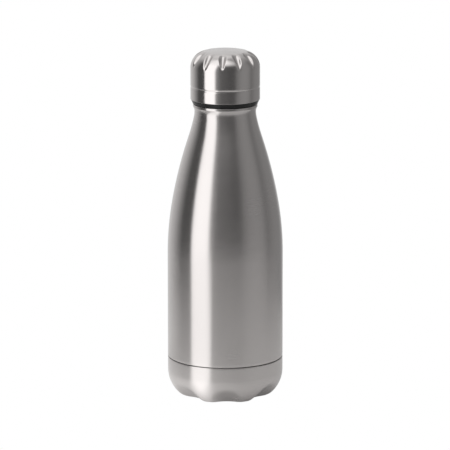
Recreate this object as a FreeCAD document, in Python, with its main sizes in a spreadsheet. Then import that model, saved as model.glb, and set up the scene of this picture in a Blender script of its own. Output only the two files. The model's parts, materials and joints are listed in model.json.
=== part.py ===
import FreeCAD, Part
import math
import os
import Sketcher

# A double-walled vacuum bottle with a petal base and a fluted screw cap.
# Frame: millimetres, +Z up, origin at the middle of the ring that the base lobes stand on.
# The side facing -Y is the front.

DIMENSIONS = (
    # The straight wall and the seam above the base cup
    ("body_radius", 35.0),
    ("sheet_wall", 0.5),
    ("seam_height", 24.4),
    ("seam_gap", 0.5),
    # The shoulder: two arcs, a straight flank and two arcs into the neck
    ("shoulder_start", 88.0),
    ("shoulder_middle", 119.7),
    ("shoulder_end", 155.9),
    ("shoulder_low_radius", 190.0),
    ("shoulder_high_radius", 270.0),
    ("flank_end", 163.0),
    ("flank_bend_radius", 90.0),
    ("flank_bend_end", 172.8),
    ("neck_height", 175.75),
    # The steel lip round the mouth
    ("lip_radius", 19.5),
    ("lip_face_bottom", 178.95),
    ("lip_top", 180.4),
    ("lip_rounding", 0.3),
    # The base cup
    ("base_curve_top", 16.0),
    ("base_side_radius", 18.5),
    ("base_corner_radius", 10.0),
    ("base_foot_inner_radius", 20.5),
    ("base_dome", 2.6),
    ("valley_count", 7),
    ("valley_tool_radius", 19.6),
    ("valley_tool_length", 70.0),
    ("valley_tilt", 39.8),
    ("valley_foot_radius", 22.66),
    ("valley_foot_height", 1.0),
    ("valley_phase", 14.7),
    # The inner liner
    ("liner_radius", 31.2),
    ("liner_weld_height", 46.0),
    ("liner_curve_start", 88.0),
    ("liner_curve_radius", 200.0),
    ("liner_curve_end", 158.5),
    ("mouth_outer_radius", 16.7),
    ("liner_rim_rounding", 0.4),
    ("liner_floor_height", 34.0),
    ("liner_floor_corner", 8.0),
    ("foil_wall", 0.2),
    ("foil_bottom", 48.0),
    ("foil_top", 86.0),
    # The screw thread in the mouth and on the plug
    ("thread_pitch", 4.0),
    ("mouth_thread_bottom", 169.0),
    ("mouth_thread_turns", 1.45),
    ("mouth_thread_depth", 0.8),
    ("plug_thread_bottom", 163.0),
    ("plug_thread_turns", 2.95),
    ("plug_thread_depth", 0.95),
    ("thread_root_width", 2.0),
    ("thread_crest_width", 0.8),
    ("thread_overlap", 0.2),
    # The vacuum base, its seal, the getter and the glue
    ("vacuum_floor_height", 28.0),
    ("vacuum_rim_height", 31.0),
    ("vacuum_skirt_bottom", 17.5),
    ("vacuum_skirt_step", 0.3),
    ("dimple_radius", 4.0),
    ("dimple_taper", 0.8),
    ("dimple_depth", 1.6),
    ("pinhole_radius", 0.8),
    ("bead_wall", 1.1),
    ("getter_offset", 16.0),
    ("getter_radius", 4.0),
    ("getter_thickness", 1.8),
    ("getter_tray_wall", 0.3),
    ("getter_tray_depth", 1.2),
    ("glue_bottom", 18.0),
    ("glue_top", 23.6),
    # The cap shell
    ("cap_radius", 21.0),
    ("cap_wall", 0.4),
    ("cap_bottom", 183.4),
    ("cap_top", 212.85),
    ("cap_corner_radius", 10.0),
    ("cap_crown_radius", 160.0),
    ("groove_height", 190.9),
    ("groove_depth", 0.18),
    ("groove_half_width", 0.7),
    ("flute_count", 12),
    ("flute_start_radius", 12.6),
    ("flute_tilt", 45.5),
    ("flute_reach", 15.0),
    ("flute_half_angle", 11.5),
    ("flute_tool_far", 22.0),
    ("flute_tool_near", 1.0),
    ("flute_phase", -5.5),
    # The plastic parts of the cap
    ("insert_radius", 20.4),
    ("insert_wall", 1.3),
    ("insert_top", 202.6),
    ("insert_notch_depth", 0.3),
    ("insert_notch_half_width", 1.2),
    ("cap_part_gap", 0.05),
    ("cap_glue_bottom", 194.0),
    ("cap_glue_top", 200.0),
    ("flange_bottom", 180.65),
    ("flange_low_radius", 19.7),
    ("flange_high_radius", 20.8),
    ("flange_rounding", 0.3),
    ("deck_top", 184.5),
    ("spigot_wall", 1.2),
    ("spigot_top", 190.0),
    ("barrel_radius", 14.9),
    ("barrel_wall", 1.6),
    ("barrel_bottom", 162.6),
    ("plug_floor_wall", 1.6),
    ("foam_radius", 13.2),
    ("seal_seat_radius", 14.35),
    ("seal_seat_bottom", 177.35),
    ("seal_play", 0.08),
    ("seal_end_play", 0.1),
    ("seal_outer_radius", 16.0),
    ("seal_rib_depth", 0.45),
)

doc = FreeCAD.newDocument("insulated_bottle")
sheet = doc.addObject("Spreadsheet::Sheet", "dim")
for row, (alias, number) in enumerate(DIMENSIONS, start=1):
    sheet.set(f"A{row}", alias)
    sheet.set(f"B{row}", str(number))
    sheet.setAlias(f"B{row}", alias)
doc.recompute()


def value(formula):
    """The number that a formula of the sheet stands for; a number stands for itself."""
    if isinstance(formula, str):
        return float(sheet.evalExpression(formula))
    return float(formula)


def new_body(label, turned_by=None):
    """A body that may be turned about Z by a formula of the sheet."""
    body = doc.addObject("PartDesign::Body", label)
    body.Label = label
    if turned_by is not None:
        body.Placement = FreeCAD.Placement(
            FreeCAD.Vector(), FreeCAD.Rotation(FreeCAD.Vector(0, 0, 1), value(turned_by))
        )
        body.setExpression("Placement.Rotation.Angle", turned_by)
    return body


def origin_feature(body, role):
    """One of the body's own origin planes or axes."""
    for feature in body.Origin.OriginFeatures:
        if feature.Role == role:
            return feature
    raise RuntimeError(f"{body.Label} has no {role}")


def new_sketch(body, name):
    """A sketch on the body's XZ plane: its x is the radius and its y is the height."""
    sketch = body.newObject("Sketcher::SketchObject", name)
    sketch.AttachmentSupport = [(origin_feature(body, "XZ_Plane"), "")]
    sketch.MapMode = "FlatFace"
    return sketch


class Pen:
    """Draws one closed outline, edge after edge.

    A coordinate or a radius given as text is a formula and becomes a named constraint.
    One given as a number is only a starting guess, and the smooth joints beside it settle it.
    """

    START = 1
    END = 2
    CENTRE = 3

    def __init__(self, sketch, x, z):
        self.sketch = sketch
        self.corners = [(x, z)]
        self.ends = []

    def line(self, x, z, smooth=False):
        """A straight edge to (x, z), tangent to the edge before it if smooth."""
        start = self._point(-1)
        end = FreeCAD.Vector(value(x), value(z), 0)
        edge = self.sketch.addGeometry(Part.LineSegment(start, end), False)
        self._finish_edge(edge, self.START, self.END, x, z, smooth)

    def arc(self, x, z, radius, turn, smooth=False, centre_x=None, centre_z=None):
        """A round edge to (x, z) that turns left or right, less than half a circle."""
        start = self._point(-1)
        end = FreeCAD.Vector(value(x), value(z), 0)
        half = (end - start) * 0.5
        reach = value(radius)
        height = math.sqrt(max(reach * reach - half.Length * half.Length, 0.0))
        side = FreeCAD.Vector(-half.y, half.x, 0).normalize()
        if turn == "right":
            side = side * -1
        centre = start + half + side * height
        circle = Part.Circle(centre, FreeCAD.Vector(0, 0, 1), reach)
        first, last = (start, end) if turn == "left" else (end, start)
        arc = Part.ArcOfCircle(
            circle,
            math.atan2(first.y - centre.y, first.x - centre.x),
            math.atan2(last.y - centre.y, last.x - centre.x),
        )
        edge = self.sketch.addGeometry(arc, False)
        if isinstance(radius, str):
            self._dimension(("Radius", edge, reach), f"edge{edge}_radius", radius)
        self._hold_point(edge, self.CENTRE, centre_x, centre_z, f"edge{edge}_centre")
        ends = (self.START, self.END) if turn == "left" else (self.END, self.START)
        self._finish_edge(edge, ends[0], ends[1], x, z, smooth)

    def close(self):
        """A straight edge back to the first corner."""
        start = self._point(-1)
        edge = self.sketch.addGeometry(Part.LineSegment(start, self._point(0)), False)
        self._join(edge, self.START, False)
        first_edge, first_end = self.ends[0][:2]
        self.sketch.addConstraint(
            Sketcher.Constraint("Coincident", edge, self.END, first_edge, first_end)
        )

    def _point(self, index):
        x, z = self.corners[index]
        return FreeCAD.Vector(value(x), value(z), 0)

    def _finish_edge(self, edge, start_end, far_end, x, z, smooth):
        if self.ends:
            self._join(edge, start_end, smooth)
        else:
            first_x, first_z = self.corners[0]
            self._hold_point(edge, start_end, first_x, first_z, f"edge{edge}_first")
        self.ends.append((edge, start_end, far_end))
        self._hold_point(edge, far_end, x, z, f"edge{edge}_end")
        self.corners.append((x, z))

    def _join(self, edge, start_end, smooth):
        kind = "Tangent" if smooth else "Coincident"
        last_edge, _, last_end = self.ends[-1]
        self.sketch.addConstraint(
            Sketcher.Constraint(kind, last_edge, last_end, edge, start_end)
        )

    def _hold_point(self, edge, end, x, z, name):
        for kind, formula, axis in (("DistanceX", x, -2), ("DistanceY", z, -1)):
            if not isinstance(formula, str):
                continue
            if formula == "0":
                self.sketch.addConstraint(Sketcher.Constraint("PointOnObject", edge, end, axis))
            else:
                arguments = (kind, edge, end, value(formula))
                self._dimension(arguments, f"{name}_{kind[-1].lower()}", formula)

    def _dimension(self, arguments, name, formula):
        index = self.sketch.addConstraint(Sketcher.Constraint(*arguments))
        self.sketch.renameConstraint(index, name)
        self.sketch.setExpression(f"Constraints.{name}", formula)


def revolve(body, sketch, name, cut=False):
    """Turns the sketch a full turn about the body's vertical axis."""
    kind = "PartDesign::Groove" if cut else "PartDesign::Revolution"
    feature = body.newObject(kind, name)
    feature.Profile = sketch
    feature.ReferenceAxis = (sketch, ["V_Axis"])
    feature.Angle = 360.0
    sketch.Visibility = False
    doc.recompute()
    return feature


def faces_at_height(feature, height):
    """Names of the feature's flat level faces at one height."""
    names = []
    for number, face in enumerate(feature.Shape.Faces, start=1):
        box = face.BoundBox
        if box.ZLength < 1e-6 and abs(box.ZMin - height) < 1e-3:
            names.append(f"Face{number}")
    return names


def hollow(body, feature, name, wall, open_heights):
    """Leaves a wall inside the feature's faces and opens its level faces at the heights."""
    open_faces = []
    for height in open_heights:
        open_faces += faces_at_height(feature, value(height))
    shell = body.newObject("PartDesign::Thickness", name)
    shell.Base = (feature, open_faces)
    shell.Reversed = True
    shell.Join = "Intersection"
    shell.setExpression("Value", wall)
    doc.recompute()
    return shell


def ring(label, inner, outer, bottom, top):
    """A plain round ring of four formulas; an inner radius of "0" makes a disc."""
    body = new_body(label)
    sketch = new_sketch(body, f"{label}_section")
    pen = Pen(sketch, inner, bottom)
    pen.line(outer, bottom)
    pen.line(outer, top)
    pen.line(inner, top)
    pen.close()
    revolve(body, sketch, f"{label}_turned")
    return body


def thread(body, name, wall, crest_step, root_step, bottom, turns):
    """A right-hand ridge that winds up a wall; the steps lead from the wall to crest and root."""
    sketch = new_sketch(body, f"{name}_section")
    taper = "(dim.thread_root_width - dim.thread_crest_width) / 2"
    pen = Pen(sketch, f"{wall} + {root_step}", bottom)
    pen.line(f"{wall} + {crest_step}", f"{bottom} + {taper}")
    pen.line(f"{wall} + {crest_step}", f"{bottom} + {taper} + dim.thread_crest_width")
    pen.line(f"{wall} + {root_step}", f"{bottom} + dim.thread_root_width")
    pen.close()
    ridge = body.newObject("PartDesign::AdditiveHelix", name)
    ridge.Profile = sketch
    ridge.ReferenceAxis = (sketch, ["V_Axis"])
    ridge.Mode = "pitch-turns-angle"
    ridge.LeftHanded = False
    ridge.Reversed = False
    ridge.setExpression("Pitch", "dim.thread_pitch")
    ridge.setExpression("Turns", turns)
    sketch.Visibility = False
    doc.recompute()
    return ridge


def place_tool(tool, x, z, lean):
    """Puts a tool's own start at (x, 0, z), with its length leaning that far from straight up."""
    tool.Placement = FreeCAD.Placement(
        FreeCAD.Vector(value(x), 0, value(z)),
        FreeCAD.Rotation(FreeCAD.Vector(0, 1, 0), value(lean)),
    )
    tool.setExpression("Placement.Base.x", x)
    tool.setExpression("Placement.Base.z", z)
    tool.setExpression("Placement.Rotation.Angle", lean)
    doc.recompute()


def cut_round(body, tool, count, volume_before):
    """Repeats a cutting tool evenly about the vertical axis."""
    pattern = body.newObject("PartDesign::PolarPattern", f"{tool.Label}_round")
    pattern.Originals = [tool]
    pattern.Axis = (origin_feature(body, "Z_Axis"), [""])
    pattern.Angle = 360.0
    pattern.setExpression("Occurrences", count)
    body.Tip = pattern
    doc.recompute()
    if body.Shape.Volume >= volume_before:
        raise RuntimeError(f"{tool.Label} cuts nothing")


def cut_valleys(body, inset):
    """Round valleys pressed up into the base; the inset widens every valley evenly.

    The deepest line of a valley passes under the foot point and climbs outward.
    """
    before = body.Shape.Volume
    tool = body.newObject("PartDesign::SubtractiveCylinder", f"{body.Label}_valley")
    tool.setExpression("Radius", f"dim.valley_tool_radius + {inset}")
    tool.setExpression("Height", "dim.valley_tool_length")
    down = "dim.valley_tool_radius * cos(dim.valley_tilt)"
    out = "dim.valley_tool_radius * sin(dim.valley_tilt)"
    place_tool(
        tool,
        f"dim.valley_foot_radius + {out} - dim.valley_tool_length / 2 * cos(dim.valley_tilt)",
        f"dim.valley_foot_height - {down} - dim.valley_tool_length / 2 * sin(dim.valley_tilt)",
        "90 - dim.valley_tilt",
    )
    cut_round(body, tool, "dim.valley_count", before)


def cut_flutes(body, inset):
    """Tapered flutes pressed into the cap's shoulder; the inset widens every flute evenly.

    The deepest line of a flute starts at the crown, falls outward and meets the tool's tip.
    """
    before = body.Shape.Volume
    tool = body.newObject("PartDesign::SubtractiveCone", f"{body.Label}_flute")
    widening = f"{inset} / cos(dim.flute_half_angle)"
    tool.setExpression("Radius1", f"dim.flute_tool_far * tan(dim.flute_half_angle) + {widening}")
    tool.setExpression("Radius2", f"dim.flute_tool_near * tan(dim.flute_half_angle) + {widening}")
    tool.setExpression("Height", "dim.flute_tool_far - dim.flute_tool_near")
    lean = "(dim.flute_tilt + dim.flute_half_angle)"
    place_tool(
        tool,
        "dim.flute_start_radius + dim.flute_reach * cos(dim.flute_tilt)"
        f" - dim.flute_tool_far * cos{lean}",
        "dim.cap_top - dim.flute_reach * sin(dim.flute_tilt)"
        f" + dim.flute_tool_far * sin{lean}",
        f"90 + {lean}",
    )
    cut_round(body, tool, "dim.flute_count", before)


def round_edge(body, feature, name, edge_radius, height, rounding):
    """Rounds the feature's level circle of one radius at one height."""
    picked = []
    for number, edge in enumerate(feature.Shape.Edges, start=1):
        is_circle = isinstance(edge.Curve, Part.Circle)
        if not is_circle or abs(edge.Curve.Radius - value(edge_radius)) > 1e-3:
            continue
        if abs(edge.BoundBox.ZMax - value(height)) < 1e-3 and edge.BoundBox.ZLength < 1e-3:
            picked.append(f"Edge{number}")
    if not picked:
        raise RuntimeError(f"{name} has no edge to round")
    fillet = body.newObject("PartDesign::Fillet", name)
    fillet.Base = (feature, picked)
    fillet.setExpression("Radius", rounding)
    doc.recompute()
    return fillet


def shell_of(label, outer_form, inner_form):
    """The sheet that is left when the inner form is taken out of the outer one."""
    shell = doc.addObject("Part::Cut", label)
    shell.Label = label
    shell.Base = outer_form
    shell.Tool = inner_form
    doc.recompute()
    return shell


def make_outer_shell():
    """The drawn outer wall, from the seam up to the lip."""
    body = new_body("outer_shell")
    sketch = new_sketch(body, "outer_shell_outline")
    bottom = "dim.seam_height + dim.seam_gap / 2"
    low = value("dim.shoulder_low_radius")
    high = value("dim.shoulder_high_radius")
    bend = value("dim.flank_bend_radius")
    low_sine = value("dim.shoulder_middle - dim.shoulder_start") / low
    high_sine = low_sine + value("dim.shoulder_end - dim.shoulder_middle") / high
    bend_sine = high_sine - value("dim.flank_bend_end - dim.flank_end") / bend
    low_turn, high_turn, bend_turn = map(math.asin, (low_sine, high_sine, bend_sine))
    middle_x = value("dim.body_radius") - low * (1 - math.cos(low_turn))
    shoulder_x = middle_x - high * (math.cos(low_turn) - math.cos(high_turn))
    flank_x = shoulder_x - value("dim.flank_end - dim.shoulder_end") * math.tan(high_turn)
    bend_x = flank_x - bend * (math.cos(bend_turn) - math.cos(high_turn))
    throat = value("dim.neck_height - dim.flank_bend_end") / bend_sine
    neck_x = bend_x - throat * (1 - math.cos(bend_turn))
    flare_out = value("dim.lip_radius") - neck_x
    flare_up = value("dim.lip_face_bottom - dim.neck_height")
    flare = (flare_out ** 2 + flare_up ** 2) / (2 * flare_out)
    pen = Pen(sketch, "0", bottom)
    pen.line("dim.body_radius", bottom)
    pen.line("dim.body_radius", "dim.shoulder_start")
    pen.arc(middle_x, "dim.shoulder_middle", "dim.shoulder_low_radius", "left", smooth=True)
    pen.arc(shoulder_x, "dim.shoulder_end", "dim.shoulder_high_radius", "left", smooth=True)
    pen.line(flank_x, "dim.flank_end", smooth=True)
    pen.arc(bend_x, "dim.flank_bend_end", "dim.flank_bend_radius", "right", smooth=True)
    pen.arc(neck_x, "dim.neck_height", throat, "right", smooth=True,
            centre_z="dim.neck_height")
    pen.arc("dim.lip_radius", "dim.lip_face_bottom", flare, "right",
            centre_z="dim.neck_height")
    pen.line("dim.lip_radius", "dim.lip_top")
    pen.line("0", "dim.lip_top")
    pen.close()
    solid = revolve(body, sketch, "outer_shell_solid")
    wall = hollow(body, solid, "outer_shell_wall", "dim.sheet_wall", (bottom, "dim.lip_top"))
    round_edge(body, wall, "outer_shell_lip", "dim.lip_radius", "dim.lip_top", "dim.lip_rounding")
    return body


def make_base_form(label, inset):
    """The petal base as a closed form, moved inward everywhere by the formula inset."""
    body = new_body(label, turned_by="dim.valley_phase")
    sketch = new_sketch(body, f"{label}_outline")
    side = value("dim.base_side_radius")
    corner = value("dim.base_corner_radius")
    dome = value("dim.base_dome")
    side_x = value("dim.body_radius") - side
    drop = value("dim.base_curve_top") - corner
    corner_x = side_x + math.sqrt((side - corner) ** 2 - drop ** 2)
    foot_x = value("dim.base_foot_inner_radius")
    dome_radius = (foot_x ** 2 + dome ** 2) / (2 * dome) - corner
    reach = corner - value(inset)
    dome_sine = foot_x / (dome_radius + corner)
    edge_x = foot_x - reach * dome_sine
    edge_z = corner - reach * math.sqrt(1 - dome_sine ** 2)
    turn_x = corner_x + reach * (corner_x - side_x) / (side - corner)
    turn_z = corner - reach * drop / (side - corner)
    wall = f"dim.body_radius - {inset}"
    top = "dim.seam_height - dim.seam_gap / 2"
    pen = Pen(sketch, "0", f"dim.base_dome + {inset}")
    pen.arc(edge_x, edge_z, dome_radius + value(inset), "right", centre_x="0")
    pen.arc(foot_x, inset, f"dim.base_corner_radius - {inset}", "left", smooth=True,
            centre_x="dim.base_foot_inner_radius")
    pen.line(corner_x, inset, smooth=True)
    pen.arc(turn_x, turn_z, f"dim.base_corner_radius - {inset}", "left", smooth=True)
    pen.arc(wall, "dim.base_curve_top", f"dim.base_side_radius - {inset}", "left", smooth=True,
            centre_z="dim.base_curve_top")
    pen.line(wall, top)
    pen.line("0", top)
    pen.close()
    revolve(body, sketch, f"{label}_solid")
    cut_valleys(body, inset)
    return body


def make_base_cup():
    """The drawn petal cup that is glued over the vacuum base."""
    outer_form = make_base_form("base_outer_form", "0")
    inner_form = make_base_form("base_inner_form", "dim.sheet_wall")
    return shell_of("base_cup", outer_form, inner_form)


def make_inner_liner():
    """The drawn inner wall, with its rolled mouth thread and the rim that closes the lip."""
    body = new_body("inner_liner")
    sketch = new_sketch(body, "inner_liner_outline")
    curve = value("dim.liner_curve_radius")
    sine = value("dim.liner_curve_end - dim.liner_curve_start") / curve
    cosine = math.sqrt(1 - sine ** 2)
    curve_x = value("dim.liner_radius") - curve * (1 - cosine)
    throat = (curve_x - value("dim.mouth_outer_radius")) / (1 - cosine)
    mouth_z = value("dim.liner_curve_end") + throat * sine
    pen = Pen(sketch, "0", "dim.liner_weld_height")
    pen.line("dim.liner_radius", "dim.liner_weld_height")
    pen.line("dim.liner_radius", "dim.liner_curve_start")
    pen.arc(curve_x, "dim.liner_curve_end", "dim.liner_curve_radius", "left", smooth=True)
    pen.arc("dim.mouth_outer_radius", mouth_z, throat, "right", smooth=True)
    pen.line("dim.mouth_outer_radius", "dim.lip_top", smooth=True)
    pen.line("0", "dim.lip_top")
    pen.close()
    solid = revolve(body, sketch, "inner_liner_solid")
    hollow(body, solid, "inner_liner_wall", "dim.sheet_wall",
           ("dim.liner_weld_height", "dim.lip_top"))
    thread(body, "inner_liner_thread", "dim.mouth_outer_radius - dim.sheet_wall",
           "-dim.mouth_thread_depth", "dim.thread_overlap",
           "dim.mouth_thread_bottom", "dim.mouth_thread_turns")
    rim_sketch = new_sketch(body, "inner_liner_rim_section")
    inside = "dim.mouth_outer_radius - dim.sheet_wall"
    outside = "dim.lip_radius - dim.sheet_wall"
    under = "dim.lip_top - dim.sheet_wall"
    pen = Pen(rim_sketch, inside, under)
    pen.line(outside, under)
    pen.line(outside, "dim.lip_top")
    pen.line(inside, "dim.lip_top")
    pen.close()
    rim = revolve(body, rim_sketch, "inner_liner_rim")
    round_edge(body, rim, "inner_liner_rim_rounding", inside, "dim.lip_top",
               "dim.liner_rim_rounding")
    return body


def make_liner_bottom():
    """The dished floor welded into the liner."""
    body = new_body("liner_bottom")
    sketch = new_sketch(body, "liner_bottom_outline")
    pen = Pen(sketch, "0", "dim.liner_floor_height")
    pen.line("dim.liner_radius - dim.liner_floor_corner", "dim.liner_floor_height")
    pen.arc("dim.liner_radius", "dim.liner_floor_height + dim.liner_floor_corner",
            "dim.liner_floor_corner", "left")
    pen.line("dim.liner_radius", "dim.liner_weld_height")
    pen.line("0", "dim.liner_weld_height")
    pen.close()
    solid = revolve(body, sketch, "liner_bottom_solid")
    hollow(body, solid, "liner_bottom_wall", "dim.sheet_wall", ("dim.liner_weld_height",))
    return body


def make_vacuum_base():
    """The welded floor of the vacuum space, with a dimple and a pinhole at its middle."""
    body = new_body("vacuum_base")
    sketch = new_sketch(body, "vacuum_base_section")
    rim = "dim.body_radius - dim.sheet_wall"
    skirt = "dim.body_radius - dim.sheet_wall - dim.vacuum_skirt_step"
    floor = "dim.vacuum_floor_height"
    wall = "dim.sheet_wall"
    step = "dim.seam_height - dim.seam_gap / 2"
    pen = Pen(sketch, f"{skirt} - {wall}", "dim.vacuum_skirt_bottom")
    pen.line(skirt, "dim.vacuum_skirt_bottom")
    pen.line(skirt, step)
    pen.line(rim, f"{step} + dim.seam_gap")
    pen.line(rim, "dim.vacuum_rim_height")
    pen.line(f"{rim} - {wall}", "dim.vacuum_rim_height")
    pen.line(f"{rim} - {wall}", f"{floor} + {wall}")
    pen.line(f"dim.dimple_radius + {wall}", f"{floor} + {wall}")
    pen.line(f"dim.dimple_radius + {wall} - dim.dimple_taper",
             f"{floor} + {wall} + dim.dimple_depth")
    pen.line("dim.pinhole_radius", f"{floor} + {wall} + dim.dimple_depth")
    pen.line("dim.pinhole_radius", f"{floor} + dim.dimple_depth")
    pen.line("dim.dimple_radius - dim.dimple_taper", f"{floor} + dim.dimple_depth")
    pen.line("dim.dimple_radius", floor)
    pen.line(f"{skirt} - {wall}", floor)
    pen.close()
    revolve(body, sketch, "vacuum_base_turned")
    return body


def make_getter():
    """The gas-absorbing pellet and the spot-welded tray that holds it, beside the dimple."""
    floor = "dim.vacuum_floor_height + dim.sheet_wall"
    tray = new_body("getter_tray")
    sketch = new_sketch(tray, "getter_tray_section")
    outside = "dim.getter_radius + dim.getter_tray_wall"
    pen = Pen(sketch, "0", floor)
    pen.line(outside, floor)
    pen.line(outside, f"{floor} + dim.getter_tray_depth")
    pen.line("dim.getter_radius", f"{floor} + dim.getter_tray_depth")
    pen.line("dim.getter_radius", f"{floor} + dim.getter_tray_wall")
    pen.line("0", f"{floor} + dim.getter_tray_wall")
    pen.close()
    revolve(tray, sketch, "getter_tray_turned")
    pellet_bottom = f"{floor} + dim.getter_tray_wall"
    pellet = ring("getter_pellet", "0", "dim.getter_radius", pellet_bottom,
                  f"{pellet_bottom} + dim.getter_thickness")
    for piece in (tray, pellet):
        piece.Placement = FreeCAD.Placement(
            FreeCAD.Vector(value("dim.getter_offset"), 0, 0), FreeCAD.Rotation()
        )
        piece.setExpression("Placement.Base.x", "dim.getter_offset")


def make_cap_form(label, inset):
    """The cap as a closed form, moved inward everywhere by the formula inset."""
    body = new_body(label, turned_by="dim.flute_phase")
    sketch = new_sketch(body, f"{label}_outline")
    crown = value("dim.cap_crown_radius")
    corner = value("dim.cap_corner_radius")
    corner_x = value("dim.cap_radius") - corner
    corner_rise = math.sqrt((crown - corner) ** 2 - corner_x ** 2)
    crown_z = value("dim.cap_top") - crown
    reach = (crown - value(inset)) / (crown - corner)
    wall = f"dim.cap_radius - {inset}"
    groove = "(dim.groove_half_width ^ 2 + dim.groove_depth ^ 2) / (2 * dim.groove_depth)"
    groove_round = f"({groove} + {inset})"
    groove_half = f"sqrt({groove_round} ^ 2 - ({groove_round} - dim.groove_depth) ^ 2)"
    pen = Pen(sketch, "0", f"dim.cap_top - {inset}")
    pen.arc(corner_x * reach, crown_z + corner_rise * reach,
            f"dim.cap_crown_radius - {inset}", "right", centre_x="0")
    pen.arc(wall, crown_z + corner_rise, f"dim.cap_corner_radius - {inset}", "right",
            smooth=True)
    pen.line(wall, f"dim.groove_height + {groove_half}", smooth=True)
    pen.arc(wall, f"dim.groove_height - {groove_half}", groove_round, "left")
    pen.line(wall, "dim.cap_bottom")
    pen.line("0", "dim.cap_bottom")
    pen.close()
    revolve(body, sketch, f"{label}_solid")
    cut_flutes(body, inset)
    return body


def make_cap_shell():
    """The drawn steel cap, with flutes pressed round its shoulder and a rolled groove."""
    outer_form = make_cap_form("cap_outer_form", "0")
    inner_form = make_cap_form("cap_inner_form", "dim.cap_wall")
    return shell_of("cap_shell", outer_form, inner_form)


def make_cap_insert():
    """The plastic cup inside the cap shell, notched where the shell's groove grips it."""
    body = new_body("cap_insert")
    sketch = new_sketch(body, "cap_insert_section")
    inside = "dim.insert_radius - dim.insert_wall"
    bottom = "dim.cap_bottom + dim.cap_part_gap"
    notch = "dim.insert_radius - dim.insert_notch_depth"
    notch_low = "dim.groove_height - dim.insert_notch_half_width"
    notch_high = "dim.groove_height + dim.insert_notch_half_width"
    pen = Pen(sketch, inside, bottom)
    pen.line("dim.insert_radius", bottom)
    pen.line("dim.insert_radius", notch_low)
    pen.line(notch, notch_low)
    pen.line(notch, notch_high)
    pen.line("dim.insert_radius", notch_high)
    pen.line("dim.insert_radius", "dim.insert_top")
    pen.line("0", "dim.insert_top")
    pen.line("0", "dim.insert_top - dim.insert_wall")
    pen.line(inside, "dim.insert_top - dim.insert_wall")
    pen.close()
    revolve(body, sketch, "cap_insert_turned")
    return body


def make_threaded_plug():
    """The moulded plug: barrel with thread, seal seat, tapered flange and spigot."""
    body = new_body("threaded_plug")
    sketch = new_sketch(body, "threaded_plug_section")
    bore = "dim.barrel_radius - dim.barrel_wall"
    flange_top = "dim.cap_bottom - dim.cap_part_gap"
    spigot = "dim.insert_radius - dim.insert_wall - dim.cap_part_gap"
    pen = Pen(sketch, bore, "dim.barrel_bottom")
    pen.line("dim.barrel_radius", "dim.barrel_bottom")
    pen.line("dim.barrel_radius", "dim.seal_seat_bottom")
    pen.line("dim.seal_seat_radius", "dim.seal_seat_bottom")
    pen.line("dim.seal_seat_radius", "dim.flange_bottom")
    pen.line("dim.flange_low_radius - dim.flange_rounding", "dim.flange_bottom")
    pen.arc("dim.flange_low_radius", "dim.flange_bottom + dim.flange_rounding",
            "dim.flange_rounding", "left")
    pen.line("dim.flange_high_radius", flange_top)
    pen.line(spigot, flange_top)
    pen.line(spigot, "dim.spigot_top")
    pen.line(f"{spigot} - dim.spigot_wall", "dim.spigot_top")
    pen.line(f"{spigot} - dim.spigot_wall", "dim.deck_top")
    pen.line(bore, "dim.deck_top")
    pen.close()
    revolve(body, sketch, "threaded_plug_turned")
    thread(body, "threaded_plug_thread", "dim.barrel_radius", "dim.plug_thread_depth",
           "-dim.thread_overlap", "dim.plug_thread_bottom", "dim.plug_thread_turns")
    return body


def make_plug_floor():
    """The disc welded under the barrel, with a spigot inside the bore."""
    body = new_body("plug_floor")
    sketch = new_sketch(body, "plug_floor_section")
    bore = "dim.barrel_radius - dim.barrel_wall - dim.cap_part_gap"
    pen = Pen(sketch, "0", "dim.barrel_bottom - dim.plug_floor_wall")
    pen.line("dim.barrel_radius", "dim.barrel_bottom - dim.plug_floor_wall")
    pen.line("dim.barrel_radius", "dim.barrel_bottom")
    pen.line(bore, "dim.barrel_bottom")
    pen.line(bore, "dim.barrel_bottom + dim.plug_floor_wall")
    pen.line("0", "dim.barrel_bottom + dim.plug_floor_wall")
    pen.close()
    revolve(body, sketch, "plug_floor_turned")
    return body


def make_seal_ring():
    """The silicone ring under the flange, with two ribs round its outside."""
    body = new_body("seal_ring")
    sketch = new_sketch(body, "seal_ring_section")
    inside = "dim.seal_seat_radius + dim.seal_play"
    bottom = "dim.seal_seat_bottom + dim.seal_end_play"
    top = "dim.flange_bottom - dim.seal_end_play"
    height = f"({top} - {bottom})"
    root = "dim.seal_outer_radius - dim.seal_rib_depth"
    pen = Pen(sketch, inside, bottom)
    pen.line(root, bottom)
    pen.line("dim.seal_outer_radius", f"{bottom} + {height} / 4")
    pen.line(root, f"{bottom} + {height} / 2")
    pen.line("dim.seal_outer_radius", f"{bottom} + {height} * 3 / 4")
    pen.line(root, top)
    pen.line(inside, top)
    pen.close()
    revolve(body, sketch, "seal_ring_turned")
    return body


def make_plain_rings():
    """The pieces that are only round rings or discs."""
    body_inside = "dim.body_radius - dim.sheet_wall"
    bead_top = "dim.vacuum_floor_height + dim.dimple_depth"
    ring("liner_foil", "dim.liner_radius", "dim.liner_radius + dim.foil_wall",
         "dim.foil_bottom", "dim.foil_top")
    ring("vacuum_seal_bead", "0", "dim.dimple_radius - dim.dimple_taper",
         f"{bead_top} - dim.bead_wall", bead_top)
    ring("base_glue_ring", f"{body_inside} - dim.vacuum_skirt_step", body_inside,
         "dim.glue_bottom", "dim.glue_top")
    ring("cap_glue_ring", "dim.insert_radius", "dim.cap_radius - dim.cap_wall",
         "dim.cap_glue_bottom", "dim.cap_glue_top")
    ring("plug_foam", "0", "dim.foam_radius",
         "dim.barrel_bottom + dim.plug_floor_wall + dim.cap_part_gap",
         "dim.insert_top - dim.insert_wall - dim.cap_part_gap")


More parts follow.
